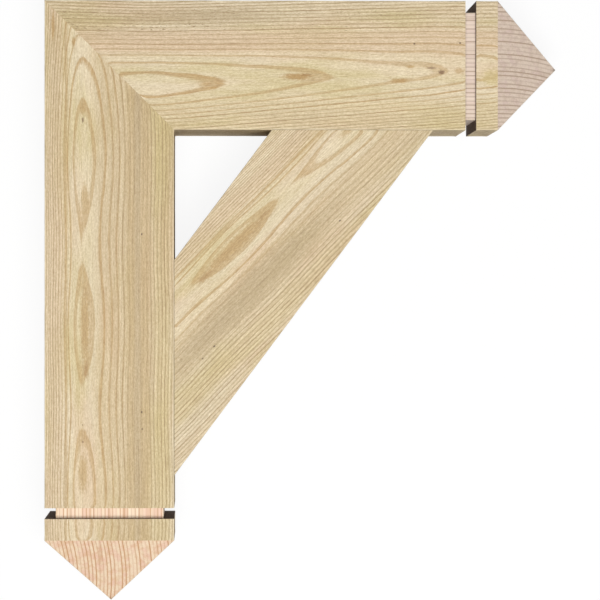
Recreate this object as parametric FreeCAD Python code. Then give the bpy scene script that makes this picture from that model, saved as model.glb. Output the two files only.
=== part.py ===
"""Timber bracket: a post and an arm mitred together at their corner, and a diagonal brace between them.

The bracket lies on its side, as it would on a level floor. X runs along the arm, away from the wall,
Y runs up the post, and Z is the thickness of the timbers. The origin is the middle of the bracket's
box, on the floor. All sizes are in millimetres.

Each of the three timbers is one sawn piece, worked in its own frame as a bar along +X with its
section centred on that axis: the bar is eased, pointed, grooved and mitred, and then put in place.
"""

import FreeCAD, Part
import math
import os

from FreeCAD import Vector

# Overall sizes
PROJECTION = 609.6  # wall plane to the tip of the arm
HEIGHT = 711.2  # top of the arm to the tip of the post
SECTION = 152.4  # side of the square timber, and so the bracket's thickness

# Worked ends of the post and the arm
POINT_LENGTH = 76.2  # four-sided point
BAND_LENGTH = 25.4  # full section left between the point and the groove
GROOVE_WIDTH = 12.7
GROOVE_DEPTH = 12.7  # on all four sides

# Brace
BRACE_WIDTH = 152.4  # seen from the side, square to its edges
BRACE_SETBACK = 38.1  # outer edge to the groove's shoulder, on the arm and on the post

# Edges along the grain are eased by this radius
ARRIS_RADIUS = 1.0

# The outer corner, where the wall plane meets the top plane
CORNER = Vector(-PROJECTION / 2, HEIGHT / 2, SECTION / 2)
WORKED_END = POINT_LENGTH + BAND_LENGTH + GROOVE_WIDTH
ALONG_ARM = Vector(1, 0, 0)
DOWN_POST = Vector(0, -1, 0)


def prism(corners, depth):
    """A solid with the given XY outline, centred on Z = 0."""
    points = [Vector(x, y, -depth / 2) for x, y in corners]
    outline = Part.makePolygon(points + points[:1])
    return Part.Face(outline).extrude(Vector(0, 0, depth))


def bar(length, width):
    """A bar along +X, width by SECTION, with its four long edges eased."""
    blank = Part.makeBox(length, width, SECTION, Vector(0, -width / 2, -SECTION / 2))
    long_edges = [e for e in blank.Edges if abs(e.tangentAt(e.FirstParameter).x) > 0.5]
    return blank.makeFillet(ARRIS_RADIUS, long_edges)


def cut_point(timber, length):
    """Saws the end at +X to a four-sided point, by one slanting cut on each side."""
    half = SECTION / 2
    spare = SECTION  # each waste piece stands clear of the timber by this much
    slope = half / POINT_LENGTH
    shoulder = length - POINT_LENGTH
    waste = prism(
        [
            (shoulder - spare, half + spare * slope),
            (length + spare, -spare * slope),
            (length + spare, half + spare),
            (shoulder - spare, half + spare),
        ],
        SECTION + 2 * spare,
    )
    for turn in range(4):
        timber = timber.cut(waste.rotated(Vector(), Vector(1, 0, 0), 90 * turn))
    return timber


def cut_groove(timber, start):
    """Cuts the square groove that runs round all four sides."""
    spare = SECTION
    outside = SECTION + spare
    neck = SECTION - 2 * GROOVE_DEPTH
    ring = Part.makeBox(
        GROOVE_WIDTH, outside, outside, Vector(start, -outside / 2, -outside / 2)
    )
    core = Part.makeBox(GROOVE_WIDTH, neck, neck, Vector(start, -neck / 2, -neck / 2))
    return timber.cut(ring.cut(core))


def cut_mitre(timber, inner_side):
    """Saws the end at X = 0 to 45 degrees. inner_side is +1 or -1, the Y side that is cut back."""
    half = SECTION / 2
    spare = SECTION
    outer = half + spare
    waste = prism(
        [
            (-spare, -inner_side * outer),
            (SECTION + spare, inner_side * outer),
            (-spare, inner_side * outer),
        ],
        SECTION + 2 * spare,
    )
    return timber.cut(waste)


def place(timber, start, direction):
    """Puts a bar's X = 0 end centre at start, with its +X along direction in the XY plane."""
    angle = math.degrees(math.atan2(direction.y, direction.x))
    turn = FreeCAD.Rotation(Vector(0, 0, 1), angle)
    timber = timber.copy()
    timber.Placement = FreeCAD.Placement(start, turn)
    return timber


def worked_timber(length, inner_side):
    """A mitred, grooved and pointed timber, in its own frame."""
    timber = bar(length, SECTION)
    timber = cut_point(timber, length)
    timber = cut_groove(timber, length - WORKED_END)
    return cut_mitre(timber, inner_side)


def top_arm():
    start = CORNER + DOWN_POST * (SECTION / 2)
    return place(worked_timber(PROJECTION, inner_side=-1), start, ALONG_ARM)


def wall_post():
    start = CORNER + ALONG_ARM * (SECTION / 2)
    return place(worked_timber(HEIGHT, inner_side=1), start, DOWN_POST)


def diagonal_brace():
    """A bar laid across the corner, and cut off flush at the arm's underside and the post's face."""
    inner_corner = CORNER + (ALONG_ARM + DOWN_POST) * SECTION
    head_run = PROJECTION - WORKED_END - BRACE_SETBACK - SECTION
    foot_drop = HEIGHT - WORKED_END - BRACE_SETBACK - SECTION
    head = inner_corner + ALONG_ARM * head_run
    foot = inner_corner + DOWN_POST * foot_drop
    down_brace = (foot - head).normalize()
    to_corner = down_brace.cross(Vector(0, 0, 1))
    overlength = BRACE_WIDTH
    start = head - down_brace * overlength + to_corner * (BRACE_WIDTH / 2)
    blank = bar(foot.distanceToPoint(head) + 2 * overlength, BRACE_WIDTH)
    below_arm_outside_post = Part.makeBox(
        PROJECTION,
        HEIGHT,
        SECTION,
        inner_corner + DOWN_POST * HEIGHT - Vector(0, 0, SECTION / 2),
    )
    return place(blank, start, down_brace).common(below_arm_outside_post)


PIECES = {
    "wall_post": wall_post,
    "top_arm": top_arm,
    "diagonal_brace": diagonal_brace,
}

os.makedirs("parts", exist_ok=True)
for name, make in PIECES.items():
    shape = make()
    solid = shape.Solids[0]
    if len(shape.Solids) != 1 or not solid.isValid():
        raise ValueError(f"{name} isn't one sound solid")
    solid.exportStep(f"parts/{name}.step")
    box = solid.optimalBoundingBox()
    print(
        name,
        f"{solid.Volume / 1e6:.3f} litres,",
        f"X {box.XMin:.1f} to {box.XMax:.1f},",
        f"Y {box.YMin:.1f} to {box.YMax:.1f},",
        f"Z {box.ZMin:.1f} to {box.ZMax:.1f}",
    )
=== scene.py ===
"""Looks of a rough sawn timber bracket that lies on its side on a pale floor.

Each of the three timbers is made in its own frame, as a sawyer would see it: +X runs along the
timber from its mitred or brace-cut end, and the square section is centred on that axis. A Geometry
Nodes tree lofts the timber from square sleeves, puts it in place and gives its skin the relief that
sawing leaves. The growth rings are a solid pattern in the log that the timber was sawn from. The
same nodes make their relief in the mesh and their colour in the material, so that a figure runs on
round an edge. Sizes of the wood's pattern are in millimetres of the log, and the rest is in metres.
"""

import math
from functools import reduce

import bpy
from mathutils import Matrix, Vector


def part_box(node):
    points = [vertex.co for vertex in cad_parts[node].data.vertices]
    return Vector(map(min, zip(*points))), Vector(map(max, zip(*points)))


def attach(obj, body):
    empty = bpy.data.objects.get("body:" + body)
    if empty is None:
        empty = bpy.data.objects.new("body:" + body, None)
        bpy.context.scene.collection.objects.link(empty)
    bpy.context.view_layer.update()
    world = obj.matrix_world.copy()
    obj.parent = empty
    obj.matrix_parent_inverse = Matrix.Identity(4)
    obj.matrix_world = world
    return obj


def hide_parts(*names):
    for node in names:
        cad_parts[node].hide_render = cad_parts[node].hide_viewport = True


MM = 0.001

# Worked ends of the post and the arm
POINT_LENGTH = 0.0762
BAND_LENGTH = 0.0254
GROOVE_WIDTH = 0.0127
GROOVE_DEPTH = 0.0127
ARRIS_RADIUS = 0.0013

# Spacing of the mesh: long cells along the grain, and fine ones across it, which hold the ridges
CELL_LENGTH = 0.0068
CELLS_PER_SIDE = 180
GROOVE_ROWS = 3
BAND_ROWS = 5
POINT_ROWS = 14
BRACE_ROWS = 70

# What a face of a timber is: how it was cut
ROUGH_SAWN, FRESH_CUT, END_GRAIN = 0.0, 1.0, 2.0


# ---------------------------------------------------------------------------------------------
# Node building
# ---------------------------------------------------------------------------------------------


def join(tree, value, socket):
    """Links a field or a socket to this input, or sets the input to a plain value."""
    if isinstance(value, Field):
        value = value.socket
    if isinstance(value, bpy.types.NodeSocket):
        tree.links.new(value, socket)
    else:
        socket.default_value = value


def add(tree, kind, inputs=None, **settings):
    """A new node with these settings, its inputs joined by name or number."""
    node = tree.nodes.new(kind)
    for name, value in settings.items():
        setattr(node, name, value)
    for key, value in (inputs or {}).items():
        join(tree, value, node.inputs[key])
    return node


class Field:
    """A number that changes over a surface. Arithmetic on it adds Math nodes to its tree."""

    def __init__(self, tree, socket):
        self.tree = tree
        self.socket = socket

    def math(self, operation, *others):
        inputs = dict(enumerate((self, *others)))
        node = add(self.tree, "ShaderNodeMath", inputs, operation=operation)
        return Field(self.tree, node.outputs[0])

    def __add__(self, other):
        return self.math("ADD", other)

    def __sub__(self, other):
        return self.math("SUBTRACT", other)

    def __mul__(self, other):
        return self.math("MULTIPLY", other)

    def __truediv__(self, other):
        return self.math("DIVIDE", other)

    def __neg__(self):
        return self.math("MULTIPLY", -1.0)

    def root(self):
        return self.math("SQRT")

    def magnitude(self):
        return self.math("ABSOLUTE")

    def between(self, low, high):
        return self.math("MAXIMUM", low).math("MINIMUM", high)

    def smooth_step(self, low, high):
        """0 below low and 1 above high, with a smooth rise between them."""
        inputs = {"Value": self, "From Min": low, "From Max": high}
        node = add(self.tree, "ShaderNodeMapRange", inputs, interpolation_type="SMOOTHSTEP")
        return Field(self.tree, node.outputs["Result"])

    def blended(self, other, share):
        """This field where share is 0, and the other where it is 1."""
        return (-self + other) * share + self


def new_tree(name, kind, inputs, outputs):
    """A node group with named sockets. Returns it with its inputs as fields and its output node."""
    tree = bpy.data.node_groups.new(name, kind)
    for label, (socket_type, value) in inputs.items():
        socket = tree.interface.new_socket(label, in_out="INPUT", socket_type=socket_type)
        if value is not None:
            socket.default_value = value
    for label, socket_type in outputs.items():
        tree.interface.new_socket(label, in_out="OUTPUT", socket_type=socket_type)
    source = tree.nodes.new("NodeGroupInput")
    fields = {label: Field(tree, source.outputs[label]) for label in inputs}
    return tree, fields, tree.nodes.new("NodeGroupOutput")


def floats(**values):
    """Float sockets for new_tree: Ring_Width=2.0 makes an input named Ring Width."""
    return {name.replace("_", " "): ("NodeSocketFloat", value) for name, value in values.items()}


def placed(tree, group, **inputs):
    """A node that holds this group, with its inputs joined by name."""
    kind = "GeometryNodeGroup" if tree.bl_idname == "GeometryNodeTree" else "ShaderNodeGroup"
    node = add(tree, kind, node_tree=group)
    for name, value in inputs.items():
        join(tree, value, node.inputs[name.replace("_", " ")])
    return node


def parts_of(tree, vector):
    """The three parts of a vector, as fields."""
    node = add(tree, "ShaderNodeSeparateXYZ", {0: vector})
    return [Field(tree, output) for output in node.outputs]


def vector_of(tree, x, y, z):
    return add(tree, "ShaderNodeCombineXYZ", {0: x, 1: y, 2: z}).outputs[0]


def noise(tree, point, along, across, seed, detail=2.0, roughness=0.5):
    """Noise from 0 to 1 whose blotches are this long and this wide, in the point's own unit."""
    x, y, z = point
    stretched = vector_of(tree, x / along, y / across, z / across)
    inputs = {"Vector": stretched, "W": seed, "Scale": 1.0, "Detail": detail, "Roughness": roughness}
    node = add(tree, "ShaderNodeTexNoise", inputs, noise_dimensions="4D")
    return Field(tree, node.outputs[0])


# ---------------------------------------------------------------------------------------------
# The log: growth rings, as nodes that work in geometry and in shader trees
# ---------------------------------------------------------------------------------------------

LOG_INPUTS = floats(
    Pith_Across=0.0,
    Pith_Slope=0.0,
    Pith_Depth=0.0,
    Pith_Sinking=0.0,
    Ring_Width=2.0,
    First_Ring=0.0,
    Lean=0.0,
    Swell=0.0,
    Second_Swell=0.0,
    Swell_Length=200.0,
    Swell_Start=0.0,
    Knot_Along=0.0,
    Knot_Reach=40.0,
    Knot_Lift=0.0,
    Wobble=0.2,
)


def growth_rings(tree, point, log):
    """Latewood from 0 to 1, a tone that each ring has to itself, and how steeply the face cuts it.

    The pith runs along the log, off to one side and below the face. Where it swells towards the
    face, a ring that just reaches it shows as a closed spindle. From the first swell on, both ways,
    the pith may sink and drift aside. Lean squeezes the rings on one side of the pith and spreads
    them on the other. A knot lifts the rings round it, or lowers them.
    """
    along, across, depth = point
    beyond = along - log["Swell Start"]
    turn = beyond / log["Swell Length"] * (2 * math.pi)
    swell = log["Swell"] * turn.math("COSINE") + log["Second Swell"] * (turn * 0.5).math("COSINE")
    bend = 15.0
    away = (beyond * beyond + bend * bend).root() - bend
    off_pith = across - log["Pith Across"] - log["Pith Slope"] * away
    roundness = 8.0
    spread = (off_pith * off_pith + roundness * roundness).root() - roundness
    off_pith = off_pith - log["Lean"] * spread
    from_knot = (along - log["Knot Along"]) / log["Knot Reach"]
    lift = log["Knot Lift"] * (-(from_knot * from_knot)).math("EXPONENT")
    above_pith = depth - log["Pith Depth"] + log["Pith Sinking"] * away - swell - lift
    radius = (off_pith * off_pith + above_pith * above_pith).root()
    steepness = off_pith.magnitude() / radius
    slow = noise(tree, point, 110.0, 18.0, 3.0) - 0.5
    quick = noise(tree, point, 26.0, 3.6, 7.0) - 0.5
    radius = radius + log["Wobble"] * (slow * 3.0 + quick * (steepness * 2.0 + 0.8))
    rings = radius / log["Ring Width"] + log["First Ring"]
    year = rings.math("FLOOR")
    share = rings.math("FRACT")
    chance = add(tree, "ShaderNodeTexWhiteNoise", {"W": year}, noise_dimensions="1D")
    tone = Field(tree, chance.outputs["Value"])
    onset = -steepness * 0.4 + 0.76
    latewood = share.smooth_step(onset, 0.9) - share.smooth_step(0.94, 1.0)
    return latewood.between(0.0, 1.0), tone, steepness


# ---------------------------------------------------------------------------------------------
# Geometry Nodes: a timber made of sleeves
# ---------------------------------------------------------------------------------------------


def sleeve_tree():
    """A square tube, wall or cap between two sections of a timber, whose ends may be cut on the slant.

    Slant is how far the end runs on along the timber for each metre across it. The long edges
    are rounded to the arris radius, which wanders a little, as on a handled timber. The mesh keeps
    two attributes: finish, which is how the face was cut, and edge, which is how many millimetres
    away the nearest long edge is.
    """
    inputs = {
        "Rows": ("NodeSocketInt", 1),
        "Cells Per Side": ("NodeSocketInt", 10),
        **floats(Start=0.0, End=1.0, Start_Half=0.1, End_Half=0.1, Start_Slant=0.0, End_Slant=0.0),
        **floats(Arris_Radius=0.001, Finish=0.0),
    }
    tree, given, out = new_tree(
        "Timber Sleeve", "GeometryNodeTree", inputs, {"Mesh": "NodeSocketGeometry"}
    )
    around = given["Cells Per Side"] * 4.0
    sheet = add(
        tree,
        "GeometryNodeMeshGrid",
        {
            "Size X": 1.0,
            "Size Y": 1.0,
            "Vertices X": given["Rows"] + 1.0,
            "Vertices Y": around + 1.0,
        },
    )
    position = add(tree, "GeometryNodeInputPosition").outputs[0]
    x, y, _ = parts_of(tree, position)
    share = x + 0.5
    lap = (y + 0.5) * 4.0
    side = lap.math("MINIMUM", 3.9999).math("FLOOR")
    over = (lap - side) * 2.0 - 1.0
    cosine = (side * (math.pi / 2)).math("COSINE")
    sine = (side * (math.pi / 2)).math("SINE")
    half = given["Start Half"].blended(given["End Half"], share)
    across = (over * cosine + sine) * half
    up = (cosine - over * sine) * half
    # One number for both faces of a corner and for both sleeves at a joint, so the skin closes up
    corner = (lap + 0.5).math("FLOOR") * (math.pi / 2)
    on_axis = given["Start"].blended(given["End"], share)
    seed_point = (on_axis, corner.math("COSINE"), corner.math("SINE"))
    wander = noise(tree, seed_point, 0.03, 0.7, 1.0, detail=3.0)
    radius = (given["Arris Radius"] * (wander * 2.4 - 0.2)).math("MINIMUM", half)
    core = half - radius
    core_across = across.math("MINIMUM", core).math("MAXIMUM", -core)
    core_up = up.math("MINIMUM", core).math("MAXIMUM", -core)
    out_across = across - core_across
    out_up = up - core_up
    reach = (out_across * out_across + out_up * out_up).root().math("MAXIMUM", 1e-9)
    pull = (radius / reach).math("MINIMUM", 1.0)
    across = core_across + out_across * pull
    up = core_up + out_up * pull
    start = given["Start"] + given["Start Slant"] * across
    end = given["End"] + given["End Slant"] * across
    along = start.blended(end, share)
    edge = (-over.magnitude() + 1.0) * half * (1 / MM)
    shape = sheet.outputs["Mesh"]
    for label, domain, value in (("finish", "FACE", given["Finish"]), ("edge", "POINT", edge)):
        stored = add(
            tree,
            "GeometryNodeStoreNamedAttribute",
            {"Geometry": shape, "Name": label, "Value": value},
            data_type="FLOAT",
            domain=domain,
        )
        shape = stored.outputs[0]
    moved = add(
        tree,
        "GeometryNodeSetPosition",
        {"Geometry": shape, "Position": vector_of(tree, along, across, up)},
    )
    join(tree, moved.outputs[0], out.inputs["Mesh"])
    return tree


def relief_tree():
    """Lowers the skin of a timber, never raises it: hollows between the rings, and saw marks."""
    inputs = {
        "Mesh": ("NodeSocketGeometry", None),
        "Log Place": ("NodeSocketVector", (0.0, 0.0, 0.0)),
        **floats(Log_Turn=0.0, Ring_Relief=0.12, Saw_Relief=0.2, Fibre_Relief=0.1),
        **LOG_INPUTS,
    }
    tree, given, out = new_tree(
        "Sawn Relief", "GeometryNodeTree", inputs, {"Mesh": "NodeSocketGeometry"}
    )
    position = add(tree, "GeometryNodeInputPosition").outputs[0]
    offset = add(
        tree, "ShaderNodeVectorMath", {0: position, 1: given["Log Place"]}, operation="SUBTRACT"
    )
    turned = add(
        tree,
        "ShaderNodeVectorRotate",
        {"Vector": offset.outputs[0], "Angle": -given["Log Turn"]},
        rotation_type="Z_AXIS",
    )
    point = [part * (1 / MM) for part in parts_of(tree, turned.outputs[0])]
    latewood, _, _ = growth_rings(tree, point, given)
    saw = noise(tree, point, 70.0, 24.0, 11.0, detail=3.0)
    fibre = noise(tree, point, 18.0, 1.8, 13.0, detail=2.0)
    depth = (-latewood + 1.0) * given["Ring Relief"] + saw * given["Saw Relief"]
    depth = depth + fibre * given["Fibre Relief"]
    finish = add(tree, "GeometryNodeInputNamedAttribute", {"Name": "finish"}, data_type="FLOAT")
    sawn = (Field(tree, finish.outputs[0]) * -2.0 + 1.0).between(0.06, 1.0)
    normal = add(tree, "GeometryNodeInputNormal").outputs[0]
    offset = add(
        tree,
        "ShaderNodeVectorMath",
        {0: normal, "Scale": depth * sawn * -MM},
        operation="SCALE",
    )
    lowered = add(
        tree,
        "GeometryNodeSetPosition",
        {"Geometry": given["Mesh"], "Offset": offset.outputs[0]},
    )
    join(tree, lowered.outputs[0], out.inputs["Mesh"])
    return tree


def timber_tree(name, sleeve, relief, worked):
    """A whole timber. A worked one has a groove, a band and a four-sided point at its far end."""
    inputs = {
        "Place": ("NodeSocketVector", (0.0, 0.0, 0.0)),
        "Log Place": ("NodeSocketVector", (0.0, 0.0, 0.0)),
        "Rows": ("NodeSocketInt", 90),
        "Cells Per Side": ("NodeSocketInt", CELLS_PER_SIDE),
        **floats(Turn=0.0, Log_Turn=0.0, Start=0.0, End=1.0, Section=0.15),
        **floats(Start_Slant=0.0, End_Slant=0.0, Arris_Radius=ARRIS_RADIUS),
        **floats(Point_Length=0.0, Band_Length=0.0, Groove_Width=0.0, Groove_Depth=0.0),
        **LOG_INPUTS,
        "Rough Sawn": ("NodeSocketMaterial", None),
        "Fresh Cut": ("NodeSocketMaterial", None),
        "End Grain": ("NodeSocketMaterial", None),
    }
    tree, given, out = new_tree(name, "GeometryNodeTree", inputs, {"Mesh": "NodeSocketGeometry"})
    half = given["Section"] * 0.5
    sleeves = []

    def run(rows, start, end, start_half, end_half, finish, start_slant=0.0, end_slant=0.0):
        made = placed(
            tree,
            sleeve,
            Rows=rows,
            Cells_Per_Side=given["Cells Per Side"],
            Start=start,
            End=end,
            Start_Half=start_half,
            End_Half=end_half,
            Start_Slant=start_slant,
            End_Slant=end_slant,
            Arris_Radius=given["Arris Radius"],
            Finish=finish,
        )
        sleeves.append(made.outputs[0])

    start, end = given["Start"], given["End"]
    slant, end_slant = given["Start Slant"], given["End Slant"]
    run(1, start, start, 0.0, half, END_GRAIN, slant, slant)
    if worked:
        tip = end
        shoulder = tip - given["Point Length"]
        band = shoulder - given["Band Length"]
        groove = band - given["Groove Width"]
        neck = half - given["Groove Depth"]
        run(given["Rows"], start, groove, half, half, ROUGH_SAWN, slant)
        run(GROOVE_ROWS, groove, groove, half, neck, END_GRAIN)
        run(GROOVE_ROWS, groove, band, neck, neck, FRESH_CUT)
        run(GROOVE_ROWS, band, band, neck, half, END_GRAIN)
        run(BAND_ROWS, band, shoulder, half, half, ROUGH_SAWN)
        run(POINT_ROWS, shoulder, tip, half, 0.0, FRESH_CUT)
    else:
        run(given["Rows"], start, end, half, half, ROUGH_SAWN, slant, end_slant)
        run(1, end, end, half, 0.0, END_GRAIN, end_slant, end_slant)

    whole = add(tree, "GeometryNodeJoinGeometry")
    for made in reversed(sleeves):
        tree.links.new(made, whole.inputs[0])
    closed = add(
        tree, "GeometryNodeMergeByDistance", {"Geometry": whole.outputs[0], "Distance": 1e-5}
    )
    turn = vector_of(tree, 0.0, 0.0, given["Turn"])
    put = add(
        tree,
        "GeometryNodeTransform",
        {"Geometry": closed.outputs[0], "Translation": given["Place"], "Rotation": turn},
    )
    log = {label.replace(" ", "_"): given[label] for label in LOG_INPUTS}
    skin = placed(
        tree,
        relief,
        Mesh=put.outputs[0],
        Log_Place=given["Log Place"],
        Log_Turn=given["Log Turn"],
        **log,
    )
    faces = add(
        tree,
        "GeometryNodeSetShadeSmooth",
        {"Geometry": skin.outputs[0], "Shade Smooth": True},
        domain="FACE",
    )
    # An edge stays sharp where it is steep or where the cut changes from one finish to the next
    angle = Field(tree, add(tree, "GeometryNodeInputMeshEdgeAngle").outputs["Unsigned Angle"])
    finish = add(tree, "GeometryNodeInputNamedAttribute", {"Name": "finish"}, data_type="FLOAT")
    finish = Field(tree, finish.outputs[0])
    cut_change = finish.math("FRACT").math("COMPARE", 0.5, 0.2)
    edges = add(
        tree,
        "GeometryNodeSetShadeSmooth",
        {
            "Geometry": faces.outputs[0],
            "Shade Smooth": angle.math("LESS_THAN", math.radians(40)) - cut_change,
        },
        domain="EDGE",
    )
    real = add(tree, "GeometryNodeRealizeInstances", {"Geometry": edges.outputs[0]})
    shape = real.outputs[0]
    cuts = {"Rough Sawn": ROUGH_SAWN, "Fresh Cut": FRESH_CUT, "End Grain": END_GRAIN}
    for label, cut in cuts.items():
        here = finish.math("COMPARE", cut, 0.5)
        painted = add(
            tree,
            "GeometryNodeSetMaterial",
            {"Geometry": shape, "Selection": here, "Material": given[label]},
        )
        shape = painted.outputs[0]
    join(tree, shape, out.inputs["Mesh"])
    return tree


def grow(name, tree, **inputs):
    """An object at the origin whose plain mesh is what this Geometry Nodes tree makes."""
    blank = bpy.data.objects.new(name, bpy.data.meshes.new(name + "_blank"))
    bpy.context.scene.collection.objects.link(blank)
    modifier = blank.modifiers.new("shape", "NODES")
    modifier.node_group = tree
    keys = {
        item.name: item.identifier
        for item in tree.interface.items_tree
        if item.item_type == "SOCKET" and item.in_out == "INPUT"
    }
    for label, value in inputs.items():
        modifier[keys[label.replace("_", " ")]] = value
    made = blank.evaluated_get(bpy.context.evaluated_depsgraph_get())
    mesh = bpy.data.meshes.new_from_object(made)
    blank.modifiers.clear()
    old = blank.data
    blank.data = mesh
    bpy.data.meshes.remove(old)
    mesh.name = name
    return blank


# ---------------------------------------------------------------------------------------------
# Shader groups: the effects that the finishes share
# ---------------------------------------------------------------------------------------------


def tint(red, green, blue):
    """A linear colour from display values of 0 to 255."""

    def linear(value):
        value = value / 255
        return value / 12.92 if value <= 0.04045 else ((value + 0.055) / 1.055) ** 2.4

    return (linear(red), linear(green), linear(blue), 1.0)


def shader_group(name, numbers, outputs, vectors=("Point",)):
    inputs = {label: ("NodeSocketVector", (0.0, 0.0, 0.0)) for label in vectors}
    inputs.update(numbers)
    made = {label: "NodeSocketFloat" for label in outputs}
    return new_tree(name, "ShaderNodeTree", inputs, made)


def ring_group():
    """Growth rings of a log: how dark the latewood is here, and a tone for each ring."""
    outputs = ("Latewood", "Ring Tone", "Steepness")
    tree, given, out = shader_group("Growth Rings", LOG_INPUTS, outputs)
    found = growth_rings(tree, parts_of(tree, given["Point"].socket), given)
    for label, field in zip(outputs, found):
        join(tree, field, out.inputs[label])
    return tree


def fibre_group():
    """Wood fibre torn by a saw: long lines, short hairs, a fine nap, and dark flecks in places."""
    numbers = floats(Line_Length=170.0, Line_Width=2.3, Fleck_Share=0.3, Seed=0.0)
    tree, given, out = shader_group("Sawn Fibre", numbers, ("Lines", "Hairs", "Nap", "Fleck"))
    point = parts_of(tree, given["Point"].socket)
    length, width, seed = given["Line Length"], given["Line Width"], given["Seed"]
    lines = noise(tree, point, length, width, seed, detail=2.0, roughness=0.65)
    hairs = noise(tree, point, length * 0.09, width * 0.5, seed + 3.0, detail=3.0, roughness=0.7)
    nap = noise(tree, point, length * 0.022, width * 0.6, seed + 4.0, detail=2.0, roughness=0.8)
    torn = noise(tree, point, length * 0.03, width * 0.5, seed + 5.0, detail=1.0)
    where = noise(tree, point, length, width * 9.0, seed + 7.0, detail=2.0)
    limit = -where * given["Fleck Share"] + 0.78
    join(tree, lines.smooth_step(0.3, 0.68), out.inputs["Lines"])
    join(tree, hairs.smooth_step(0.34, 0.66), out.inputs["Hairs"])
    join(tree, nap.smooth_step(0.36, 0.64), out.inputs["Nap"])
    join(tree, (torn - limit).smooth_step(0.0, 0.06), out.inputs["Fleck"])
    return tree


def patch_group():
    """Long soft patches in which the wood takes another tone."""
    numbers = floats(Patch_Length=180.0, Patch_Width=30.0, Seed=0.0, Low=0.45, High=0.65)
    tree, given, out = shader_group("Tone Patch", numbers, ("Mask",))
    point = parts_of(tree, given["Point"].socket)
    size = given["Patch Length"], given["Patch Width"]
    field = noise(tree, point, *size, given["Seed"], detail=3.0)
    join(tree, field.smooth_step(given["Low"], given["High"]), out.inputs["Mask"])
    return tree


def streak_group():
    """One band of colour that runs along the log at a set place across it, with ragged edges."""
    numbers = floats(Across=0.0, Streak_Width=10.0, Softness=4.0, Wander=2.0, Seed=0.0)
    tree, given, out = shader_group("Streak", numbers, ("Mask",))
    point = parts_of(tree, given["Point"].socket)
    wander = noise(tree, point, 90.0, 9.0, given["Seed"], detail=3.0) - 0.5
    off = (point[1] - given["Across"] + wander * given["Wander"] * 2.0).magnitude()
    edge = given["Streak Width"] * 0.5
    mask = -off.smooth_step(edge - given["Softness"], edge + given["Softness"]) + 1.0
    join(tree, mask, out.inputs["Mask"])
    return tree


def mark_group():
    """A knot, resin spot, stain or insect hole: an oval with a ragged edge, a few millimetres deep."""
    numbers = floats(Length=6.0, Width=3.0, Depth=5.0)
    tree, given, out = shader_group("Mark", numbers, ("Mask",), ("Point", "Place"))
    point = given["Point"].socket
    offset = add(
        tree, "ShaderNodeVectorMath", {0: point, 1: given["Place"]}, operation="SUBTRACT"
    )
    x, y, z = parts_of(tree, offset.outputs[0])
    ragged = noise(tree, parts_of(tree, point), 3.0, 1.5, 2.0, detail=2.0) - 0.5
    x, y, z = x / given["Length"] * 2.0, y / given["Width"] * 2.0, z / given["Depth"]
    reach = (x * x + y * y + z * z).root() + ragged * 0.9
    join(tree, -reach.smooth_step(0.35, 1.05) + 1.0, out.inputs["Mask"])
    return tree


def wear_and_highlight_group():
    """Paler wear along the long edges, broken where the handling missed them. The paler colour is also
    partly a painted highlight where light catches the rounded arris.
    """
    tree, given, out = shader_group("Arris Wear", floats(Edge=20.0, Wear_Width=3.0), ("Mask",))
    point = parts_of(tree, given["Point"].socket)
    broken = noise(tree, point, 14.0, 5.0, 4.0, detail=3.0)
    width = given["Wear Width"] * (broken * 1.6)
    join(tree, -given["Edge"].smooth_step(width * 0.3, width) + 1.0, out.inputs["Mask"])
    return tree


def saw_group():
    """Marks of the saw's teeth, a little off square to the grain."""
    tree, given, out = shader_group("Saw Marks", floats(Spacing=4.0, Slope=0.12), ("Height",))
    x, y, z = parts_of(tree, given["Point"].socket)
    drift = noise(tree, (x, y, z), 60.0, 40.0, 8.0, detail=2.0) - 0.5
    phase = (x + (y + z) * given["Slope"] + drift * 9.0) / given["Spacing"] * (2 * math.pi)
    fade = noise(tree, (x, y, z), 90.0, 50.0, 9.0, detail=1.0).smooth_step(0.4, 0.65)
    join(tree, (phase.math("SINE") * 0.5 + 0.5) * fade, out.inputs["Height"])
    return tree


# ---------------------------------------------------------------------------------------------
# Finishes
# ---------------------------------------------------------------------------------------------


def new_finish(name):
    """An empty material with its Principled BSDF."""
    material = bpy.data.materials.new(name)
    material.use_nodes = True
    tree = material.node_tree
    return material, tree, tree.nodes["Principled BSDF"]


def log_point(tree, log):
    """Where a point of the surface is in its log, in millimetres along, across and up."""
    place = add(tree, "ShaderNodeTexCoord").outputs["Object"]
    inputs = {
        "Vector": place,
        "Location": log["place"],
        "Rotation": (0.0, 0.0, log["turn"]),
        "Scale": (MM, MM, MM),
    }
    return add(tree, "ShaderNodeMapping", inputs, vector_type="TEXTURE").outputs[0]


def layer(tree, below, above, share, blend="MIX"):
    """The colour below with the colour above laid over it, as far as share says."""
    node = add(tree, "ShaderNodeMix", data_type="RGBA", blend_type=blend)
    join(tree, share, node.inputs["Factor"])
    colours = [socket for socket in node.inputs if socket.type == "RGBA"]
    join(tree, below, colours[0])
    join(tree, above, colours[1])
    return [socket for socket in node.outputs if socket.type == "RGBA"][0]


def mask_of(tree, group, output="Mask", strength=1.0, **inputs):
    node = placed(tree, group, **inputs)
    return Field(tree, node.outputs[output]) * strength


def bumped(tree, shader, height, distance):
    """Feeds the shader's normal from a height of 0 to 1 that stands for this distance."""
    bump = add(tree, "ShaderNodeBump", {"Height": height, "Distance": distance, "Strength": 1.0})
    tree.links.new(bump.outputs[0], shader.inputs["Normal"])


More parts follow.
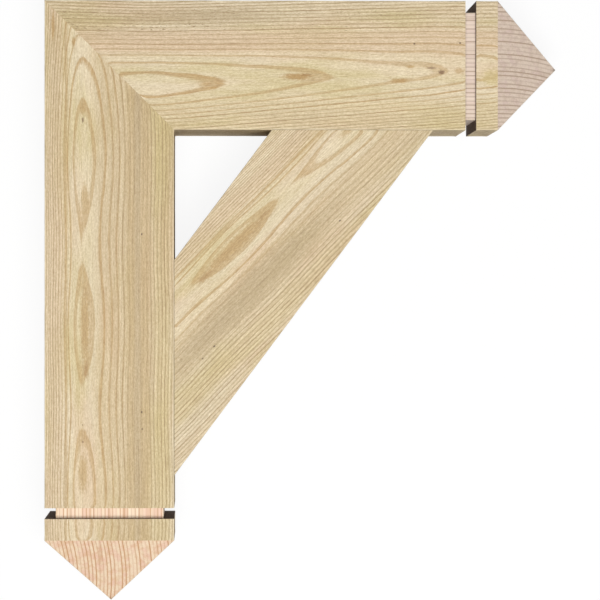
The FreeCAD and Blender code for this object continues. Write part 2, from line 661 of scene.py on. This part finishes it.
def rough_sawn(name, groups, log, tints, streaks, marks, seed):
    """Bare wood as the saw left it."""
    material, tree, shader = new_finish(name)
    point = log_point(tree, log)
    rings = placed(tree, groups["rings"], Point=point, **log["rings"])
    latewood, tone, steepness = [Field(tree, output) for output in rings.outputs]
    fibre = placed(tree, groups["fibre"], Point=point, Seed=seed)
    lines, hairs, nap, fleck = [Field(tree, output) for output in fibre.outputs]

    colour = tints["earlywood"]
    for number, patch in enumerate(("pink", "olive", "pale")):
        share = mask_of(tree, groups["patch"], Point=point, Seed=seed + number * 4.0, strength=0.7)
        colour = layer(tree, colour, tints[patch], share)
    smoothing = []
    torn = fleck * 0.25
    for number, (streak, across, width, softness, strength, smooth) in enumerate(streaks):
        share = mask_of(
            tree,
            groups["streak"],
            Point=point,
            Across=across,
            Streak_Width=width,
            Softness=softness,
            Seed=seed + number * 2.0,
        )
        if streak == "fleck":
            torn = torn + share * fleck * strength
        else:
            colour = layer(tree, colour, tints[streak], share * strength)
        if smooth:
            smoothing.append(share * smooth)
    smoothed = reduce(Field.__add__, smoothing)
    line = latewood * (tone * 0.5 + 0.6).between(0.0, 1.0) * (-smoothed + 1.0).between(0.0, 1.0)
    line = line * (lines * 0.35 + 0.65) * (-hairs * 0.2 + 1.0)
    flat_cut = layer(tree, tints["gold"], tints["latewood"], steepness.smooth_step(0.2, 0.5))
    colour = layer(tree, colour, flat_cut, line)
    for mark, along, across, length, width, strength in marks:
        share = mask_of(
            tree,
            groups["mark"],
            Point=point,
            Place=(along, across, SKIN),
            Length=length,
            Width=width,
            strength=strength,
        )
        colour = layer(tree, colour, tints[mark], share)
    colour = layer(tree, colour, tints["lines"], (-lines + 1.0) * (steepness * 0.4 + 0.2), "MULTIPLY")
    colour = layer(tree, colour, tints["hairs"], (-hairs + 1.0) * 0.48, "MULTIPLY")
    colour = layer(tree, colour, tints["nap"], (-nap + 1.0) * 0.55, "MULTIPLY")
    colour = layer(tree, colour, tints["fleck"], torn)
    # Paler colour along the long edges: partly handling wear, partly a painted highlight on the rounded
    # arris
    edge = add(tree, "ShaderNodeAttribute", attribute_name="edge").outputs["Fac"]
    wear_and_highlight = mask_of(tree, groups["wear_and_highlight"], Point=point, Edge=edge, Wear_Width=2.4, strength=0.4)
    colour = layer(tree, colour, tints["wear_and_highlight"], wear_and_highlight)
    join(tree, colour, shader.inputs["Base Color"])

    join(tree, hairs * 0.12 + 0.72 - line * 0.1 - wear_and_highlight * 0.12, shader.inputs["Roughness"])
    saw = mask_of(tree, groups["saw"], "Height", Point=point, strength=0.25)
    height = lines * 0.3 + hairs * 0.3 + nap * 0.2 + line * 0.25 - torn * 0.4 + saw
    bumped(tree, shader, height, 0.22 * MM)
    return material


def fresh_cut(name, groups, log, tints, marks, seed):
    """Planed clean by a sharp blade: crisp rings, a pinker and paler wood, and a faint sheen."""
    material, tree, shader = new_finish(name)
    point = log_point(tree, log)
    rings = placed(tree, groups["rings"], Point=point, **log["rings"])
    latewood, tone, _ = [Field(tree, output) for output in rings.outputs]
    fibre = placed(tree, groups["fibre"], Point=point, Line_Width=1.6, Seed=seed)
    lines, hairs, _, _ = [Field(tree, output) for output in fibre.outputs]
    pink = mask_of(tree, groups["patch"], Point=point, Patch_Width=9.0, Seed=seed)
    colour = layer(tree, tints["fresh_earlywood"], tints["fresh_pink"], pink * 0.7)
    broad = mask_of(tree, groups["patch"], Point=point, Patch_Width=5.0, Seed=seed + 9.0)
    colour = layer(tree, colour, tints["fresh_tan"], broad * 0.4)
    line = latewood.smooth_step(0.3, 0.9) * tone.smooth_step(-0.3, 0.7)
    colour = layer(tree, colour, tints["fresh_latewood"], line)
    for mark, along, across, depth, length, width, strength in marks:
        share = mask_of(
            tree,
            groups["mark"],
            Point=point,
            Place=(along, across, depth),
            Length=length,
            Width=width,
            Depth=length,
            strength=strength,
        )
        colour = layer(tree, colour, tints[mark], share)
    colour = layer(tree, colour, tints["lines"], (-lines + 1.0) * 0.25, "MULTIPLY")
    colour = layer(tree, colour, tints["hairs"], (-hairs + 1.0) * 0.15, "MULTIPLY")
    # Paler colour along the long edges: partly handling wear, partly a painted highlight on the rounded
    # arris
    edge = add(tree, "ShaderNodeAttribute", attribute_name="edge").outputs["Fac"]
    wear_and_highlight = mask_of(tree, groups["wear_and_highlight"], Point=point, Edge=edge, Wear_Width=1.6, strength=0.4)
    colour = layer(tree, colour, tints["wear_and_highlight"], wear_and_highlight)
    join(tree, colour, shader.inputs["Base Color"])
    join(tree, hairs * 0.1 + 0.52 - line * 0.08, shader.inputs["Roughness"])
    bumped(tree, shader, hairs * 0.4 + line * 0.4, 0.06 * MM)
    return material


def end_grain(name, groups, log, tints, seed):
    """Wood cut square across: dark, open pores between the ring's arcs. Its dark tint is partly the end
    grain's own colour and partly painted shade of the grooves, whose walls it mostly covers.
    """
    material, tree, shader = new_finish(name)
    point = log_point(tree, log)
    rings = placed(tree, groups["rings"], Point=point, **log["rings"])
    latewood = Field(tree, rings.outputs["Latewood"])
    x, y, z = parts_of(tree, point)
    pores = noise(tree, (x, y, z), 6.0, 0.5, seed, detail=2.0)
    # Dark end grain colour, deepened as painted shade of the groove walls
    colour = layer(tree, tints["end"], tints["end_dark_and_shade"], latewood * 0.7)
    colour = layer(tree, colour, tints["end_dark_and_shade"], pores.smooth_step(0.5, 0.7) * 0.5)
    join(tree, colour, shader.inputs["Base Color"])
    join(tree, pores * 0.1 + 0.8, shader.inputs["Roughness"])
    bumped(tree, shader, pores, 0.2 * MM)
    return material


# ---------------------------------------------------------------------------------------------
# The three timbers
# ---------------------------------------------------------------------------------------------

TINTS = {
    "earlywood": tint(241, 227, 198),
    "latewood": tint(164, 137, 92),
    "gold": tint(190, 154, 96),
    "filled": tint(202, 174, 128),
    "pink": tint(230, 207, 178),
    "olive": tint(219, 206, 158),
    "pale": tint(239, 227, 202),
    "tan": tint(208, 184, 142),
    "yellow": tint(220, 203, 150),
    "grey": tint(206, 189, 160),
    "grey_tan": tint(196, 178, 146),
    "brown": tint(172, 136, 88),
    "knot": tint(128, 98, 72),
    "hole": tint(92, 70, 54),
    "lines": tint(202, 190, 170),
    "hairs": tint(204, 192, 172),
    "nap": tint(216, 206, 184),
    "fleck": tint(146, 122, 88),
    # Paler edge colour: partly handling wear, partly a painted highlight on the arris
    "wear_and_highlight": tint(230, 214, 178),
    "fresh_earlywood": tint(248, 225, 196),
    "fresh_pink": tint(240, 198, 176),
    "fresh_tan": tint(220, 176, 128),
    "fresh_latewood": tint(204, 154, 110),
    # End grain: its own darker colour, and painted shade of the groove walls
    "end": tint(100, 78, 58),
    "end_dark_and_shade": tint(62, 48, 36),
}
ARM_TINTS = {
    **TINTS,
    "fresh_earlywood": tint(236, 217, 200),
    "fresh_pink": tint(226, 202, 191),
    "fresh_tan": tint(206, 184, 162),
    "fresh_latewood": tint(188, 163, 142),
}

POST_RINGS = dict(
    Pith_Across=-31.5,
    Pith_Depth=-3.8,
    Ring_Width=1.8,
    First_Ring=0.426,
    Lean=0.32,
    Swell=0.51,
    Second_Swell=0.12,
    Swell_Length=198.0,
    Swell_Start=185.0,
    Knot_Along=10.0,
    Knot_Reach=60.0,
    Knot_Lift=-4.5,
)
ARM_RINGS = dict(
    Pith_Across=-24.0,
    Pith_Slope=0.055,
    Pith_Depth=-34.0,
    Pith_Sinking=0.0155,
    Ring_Width=1.9,
    First_Ring=0.51,
    Lean=0.1,
    Swell_Start=125.0,
    Knot_Along=452.0,
    Knot_Reach=28.0,
    Knot_Lift=0.3,
)
POST_POINT_RINGS = dict(Pith_Across=-240.0, Pith_Depth=32.0, Ring_Width=4.4, Wobble=0.14)
ARM_POINT_RINGS = dict(Pith_Across=-300.0, Pith_Depth=58.0, Ring_Width=5.0, Wobble=0.2)

# Streaks: tint, place across, width, softness, strength, and how far they smooth the rings away
POST_STREAKS = [
    ("pink", -64.0, 18.0, 4.0, 0.5, 0.0),
    ("tan", 2.0, 34.0, 7.0, 0.4, 0.0),
    ("gold", -51.0, 3.4, 1.2, 0.45, 0.0),
    ("tan", 34.0, 30.0, 5.0, 0.7, 0.6),
    ("grey", 33.0, 7.0, 2.5, 0.6, 0.0),
    ("yellow", 62.0, 20.0, 5.0, 0.45, 0.1),
]
ARM_STREAKS = [
    ("grey", 60.0, 30.0, 7.0, 0.12, 0.0),
    ("pink", 28.0, 26.0, 6.0, 0.7, 0.2),
    ("yellow", -58.0, 34.0, 7.0, 0.3, 0.0),
    ("fleck", 45.0, 8.0, 3.0, 0.9, 0.0),
    ("fleck", 59.0, 16.0, 5.0, 0.5, 0.0),
]
BRACE_STREAKS = [
    ("pink", -64.0, 18.0, 4.0, 0.5, 0.0),
    ("gold", -51.0, 3.4, 1.2, 0.45, 0.0),
    ("tan", 22.0, 40.0, 9.0, 0.35, 0.4),
    ("yellow", 62.0, 24.0, 6.0, 0.3, 0.0),
]

# Marks on the upper face: tint, place along and across, length, width, strength
POST_MARKS = [
    ("filled", 234.0, -29.0, 50.0, 12.0, 0.75),
    ("filled", 382.0, -28.5, 136.0, 15.0, 0.9),
    ("brown", 436.0, -27.0, 26.0, 7.0, 0.5),
    ("filled", 556.0, -31.0, 60.0, 14.0, 0.8),
    ("gold", 128.0, -31.5, 18.0, 9.0, 0.5),
    ("gold", 30.0, -66.0, 46.0, 5.0, 0.7),
    ("gold", 49.0, -42.0, 14.0, 6.0, 0.7),
    ("knot", 141.0, -31.0, 9.0, 3.4, 0.8),
    ("hole", 275.0, 38.0, 3.6, 2.2, 0.9),
    ("hole", 484.0, 38.0, 3.6, 2.4, 0.9),
    ("hole", 504.0, 38.5, 3.2, 2.2, 0.8),
    ("knot", 519.0, -31.0, 3.4, 2.2, 0.7),
    ("knot", 499.0, -31.5, 2.6, 2.0, 0.6),
]
ARM_MARKS = [
    ("grey_tan", 185.0, 57.0, 260.0, 26.0, 0.5),
    ("gold", 297.0, -13.5, 46.0, 11.0, 0.85),
    ("brown", 308.0, -11.5, 16.0, 5.0, 0.6),
    ("gold", 188.0, -22.5, 18.0, 6.0, 0.5),
    ("gold", 417.0, -18.0, 30.0, 8.0, 0.7),
    ("gold", 430.0, -1.5, 13.0, 5.0, 0.7),
    ("knot", 455.0, -3.0, 13.0, 3.4, 0.6),
    ("knot", 467.0, -8.0, 9.0, 7.0, 0.8),
    ("gold", 488.0, -6.0, 14.0, 10.0, 0.5),
    ("yellow", 527.0, -14.0, 32.0, 26.0, 0.7),
    ("hole", 435.0, 25.5, 3.4, 2.6, 0.9),
    ("hole", 489.0, 26.5, 3.2, 2.4, 0.9),
]
# On the facet of a point, with the place up in the log as well
POINT_MARKS = [
    ("fresh_latewood", 652.0, -11.0, 62.0, 44.0, 7.0, 0.45),
    ("fresh_tan", 566.0, -4.0, 44.0, 10.0, 3.0, 0.6),
]
BRACE_MARKS = [
    ("grey_tan", 410.0, 22.0, 360.0, 48.0, 0.65),
    ("filled", 382.0, -28.5, 154.0, 21.0, 0.95),
    ("brown", 436.0, -27.0, 30.0, 7.0, 0.4),
    ("brown", 332.0, -30.0, 24.0, 6.0, 0.4),
    ("filled", 190.0, -31.0, 40.0, 12.0, 0.7),
    ("hole", 275.0, 38.0, 3.6, 2.2, 0.9),
    ("hole", 484.0, 38.0, 3.6, 2.4, 0.9),
    ("hole", 504.0, 38.5, 3.2, 2.2, 0.8),
]

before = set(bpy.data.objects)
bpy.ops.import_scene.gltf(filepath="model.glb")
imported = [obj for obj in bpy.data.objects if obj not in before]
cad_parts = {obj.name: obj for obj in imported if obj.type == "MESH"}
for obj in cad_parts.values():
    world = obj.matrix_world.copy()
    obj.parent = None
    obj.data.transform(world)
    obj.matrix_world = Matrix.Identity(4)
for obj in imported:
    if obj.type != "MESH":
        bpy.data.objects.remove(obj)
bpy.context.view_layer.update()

post_low, post_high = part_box("wall_post")
arm_low, arm_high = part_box("top_arm")
brace_low, brace_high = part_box("diagonal_brace")
SECTION = arm_high[2] - arm_low[2]
SKIN = SECTION / 2 / MM  # the upper face, in the log's millimetres from the middle of the timber
MIDDLE = (arm_low[2] + arm_high[2]) / 2

groups = {
    "rings": ring_group(),
    "fibre": fibre_group(),
    "patch": patch_group(),
    "streak": streak_group(),
    "mark": mark_group(),
    "wear_and_highlight": wear_and_highlight_group(),
    "saw": saw_group(),
}
sleeve = sleeve_tree()
relief = relief_tree()
worked_timber = timber_tree("Worked Timber", sleeve, relief, worked=True)
brace_timber = timber_tree("Brace Timber", sleeve, relief, worked=False)


def ring_inputs(rings):
    """The log's ring values, and the common ones for whatever it doesn't give."""
    return {label.replace(" ", "_"): value for label, (_, value) in LOG_INPUTS.items()} | rings


def finishes(timber, log, point_log, tints, streaks, marks, seed):
    """The three finishes of a timber, by the names of its tree's inputs."""
    return {
        "Rough_Sawn": rough_sawn(timber + "_rough_sawn", groups, log, tints, streaks, marks, seed),
        "Fresh_Cut": fresh_cut(timber + "_fresh_cut", groups, point_log, tints, POINT_MARKS, seed),
        "End_Grain": end_grain(timber + "_end_grain", groups, log, tints, seed),
    }


def worked(name, log, tints, streaks, marks, point_rings, seed, length, inner_side):
    """The post or the arm: mitred at its start, grooved and pointed at its far end.

    Inner side is 1 or -1, for the side across the timber that the mitre leaves the shorter.
    """
    point_log = {**log, "rings": point_rings}
    return grow(
        name,
        worked_timber,
        Place=log["place"],
        Turn=log["turn"],
        Log_Place=log["place"],
        Log_Turn=log["turn"],
        Start=SECTION / 2,
        Start_Slant=inner_side,
        End=length,
        Section=SECTION,
        Rows=round(length / CELL_LENGTH),
        Point_Length=POINT_LENGTH,
        Band_Length=BAND_LENGTH,
        Groove_Width=GROOVE_WIDTH,
        Groove_Depth=GROOVE_DEPTH,
        **ring_inputs(log["rings"]),
        **finishes(name, log, point_log, tints, streaks, marks, seed),
    )


def make_post():
    start = (post_low[0] + SECTION / 2, post_high[1], MIDDLE)
    log = {"place": start, "turn": -math.pi / 2, "rings": POST_RINGS}
    length = post_high[1] - post_low[1]
    return worked(
        "post",
        log,
        TINTS,
        POST_STREAKS,
        POST_MARKS,
        POST_POINT_RINGS,
        seed=1.0,
        length=length,
        inner_side=1.0,
    )


def make_arm():
    start = (arm_low[0], arm_high[1] - SECTION / 2, MIDDLE)
    log = {"place": start, "turn": 0.0, "rings": ARM_RINGS}
    length = arm_high[0] - arm_low[0]
    return worked(
        "arm",
        log,
        ARM_TINTS,
        ARM_STREAKS,
        ARM_MARKS,
        ARM_POINT_RINGS,
        seed=21.0,
        length=length,
        inner_side=-1.0,
    )


def make_brace():
    """The brace's outer edge runs from the head's outer corner to the foot's."""
    head = Vector((brace_high[0], brace_high[1], MIDDLE))
    foot = Vector((brace_low[0], brace_low[1], MIDDLE))
    down = (foot - head).normalized()
    outward = Vector((-down.y, down.x, 0.0))
    place = head - outward * (SECTION / 2)
    turn = math.atan2(down.y, down.x)
    # Ends: the head is flush with the arm's underside, and the foot with the post's inner face
    start = (brace_high[1] - place.y) / down.y
    end = (brace_low[0] - place.x) / down.x
    log = {"place": (0.210, 0.318, MIDDLE), "turn": math.radians(-135), "rings": POST_RINGS}
    return grow(
        "brace",
        brace_timber,
        Place=place,
        Turn=turn,
        Log_Place=log["place"],
        Log_Turn=log["turn"],
        Start=start,
        Start_Slant=-outward.y / down.y,
        End=end,
        End_Slant=-outward.x / down.x,
        Section=SECTION,
        Rows=BRACE_ROWS,
        **ring_inputs(log["rings"]),
        **finishes("brace", log, log, TINTS, BRACE_STREAKS, BRACE_MARKS, 1.0),
    )


PIECES = {
    "wall_post": (make_post, "post_timber"),
    "top_arm": (make_arm, "arm_timber"),
    "diagonal_brace": (make_brace, "brace_timber"),
}
for node, (make, slot) in PIECES.items():
    piece = make()
    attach(piece, "root")
    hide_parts(node)


# ---------------------------------------------------------------------------------------------
# Stage, lights and camera
# ---------------------------------------------------------------------------------------------

FLOOR_SIZE = 12.0
FLOOR_GAP = 0.0002
# How much of the floor's look is plain white: the rest takes light and shadow
FLOOR_WHITE = 0.9
AMBIENT = 0.25

# The camera's place: out from the wall, down from the top and up from the front, and what it sees
EYE_OUT = 0.184
EYE_DOWN = 0.352
EYE_UP = 3.89
SEEN_WIDTH = 0.7058


def seen_directly(tree):
    """1 where the camera looks, also by way of a reflection or through glass, and 0 for other light."""
    path = add(tree, "ShaderNodeLightPath")
    kinds = ("Camera", "Glossy", "Transmission")
    rays = [Field(tree, path.outputs[f"Is {kind} Ray"]) for kind in kinds]
    return reduce(Field.__add__, rays).between(0.0, 1.0)


def make_floor():
    """A pale floor that reads as white, and keeps a soft shadow of the bracket."""
    bpy.ops.mesh.primitive_plane_add(size=FLOOR_SIZE, location=(0.0, 0.0, arm_low[2] - FLOOR_GAP))
    floor = bpy.context.object
    floor.name = "floor"
    material = bpy.data.materials.new("pale_floor")
    material.use_nodes = True
    tree = material.node_tree
    tree.nodes.clear()
    looked_at = seen_directly(tree)
    shade = layer(tree, (0.5, 0.5, 0.5, 1.0), (0.95, 0.95, 0.95, 1.0), looked_at)
    matt = add(tree, "ShaderNodeBsdfDiffuse", {"Color": shade})
    white = add(tree, "ShaderNodeEmission", {"Color": (1.0, 1.0, 1.0, 1.0), "Strength": 1.0})
    share = looked_at * FLOOR_WHITE
    mixed = add(tree, "ShaderNodeMixShader", {0: share, 1: matt.outputs[0], 2: white.outputs[0]})
    add(tree, "ShaderNodeOutputMaterial", {"Surface": mixed.outputs[0]})
    floor.data.materials.append(material)


def make_world():
    world = bpy.data.worlds.new("studio")
    bpy.context.scene.world = world
    world.use_nodes = True
    tree = world.node_tree
    tree.nodes.clear()
    light = seen_directly(tree) * (1.0 - AMBIENT) + AMBIENT
    shown = add(tree, "ShaderNodeBackground", {"Color": (1.0, 1.0, 1.0, 1.0), "Strength": light})
    add(tree, "ShaderNodeOutputWorld", {"Surface": shown.outputs[0]})


def make_lamp(name, place, aim, size, power):
    lamp = bpy.data.lights.new(name, "AREA")
    lamp.shape = "DISK"
    lamp.size = size
    lamp.energy = power
    holder = bpy.data.objects.new(name, lamp)
    holder.location = place
    holder.rotation_euler = (Vector(aim) - Vector(place)).to_track_quat("-Z", "Y").to_euler()
    bpy.context.scene.collection.objects.link(holder)


def make_camera():
    """Looks straight down on the bracket's upper face, from over the open triangle."""
    front = arm_high[2]
    eye = Vector((arm_low[0] + EYE_OUT, post_high[1] - EYE_DOWN, front + EYE_UP))
    aim = Vector((-0.0046, 0.0032, front))
    lens = bpy.data.cameras.new("camera")
    lens.sensor_width = 36.0
    lens.lens = lens.sensor_width * (eye - aim).length / SEEN_WIDTH
    holder = bpy.data.objects.new("camera", lens)
    back = (eye - aim).normalized()
    right = Vector((0.0, 1.0, 0.0)).cross(back).normalized()
    up = back.cross(right)
    holder.matrix_world = Matrix.Translation(eye) @ Matrix((right, up, back)).transposed().to_4x4()
    bpy.context.scene.collection.objects.link(holder)
    bpy.context.scene.camera = holder


make_floor()
make_world()
make_lamp("key", place=(0.05, -0.74, 3.77), aim=(0.0, 0.0, 0.1), size=1.6, power=130.0)
make_camera()
bpy.context.scene.view_settings.view_transform = "Standard"
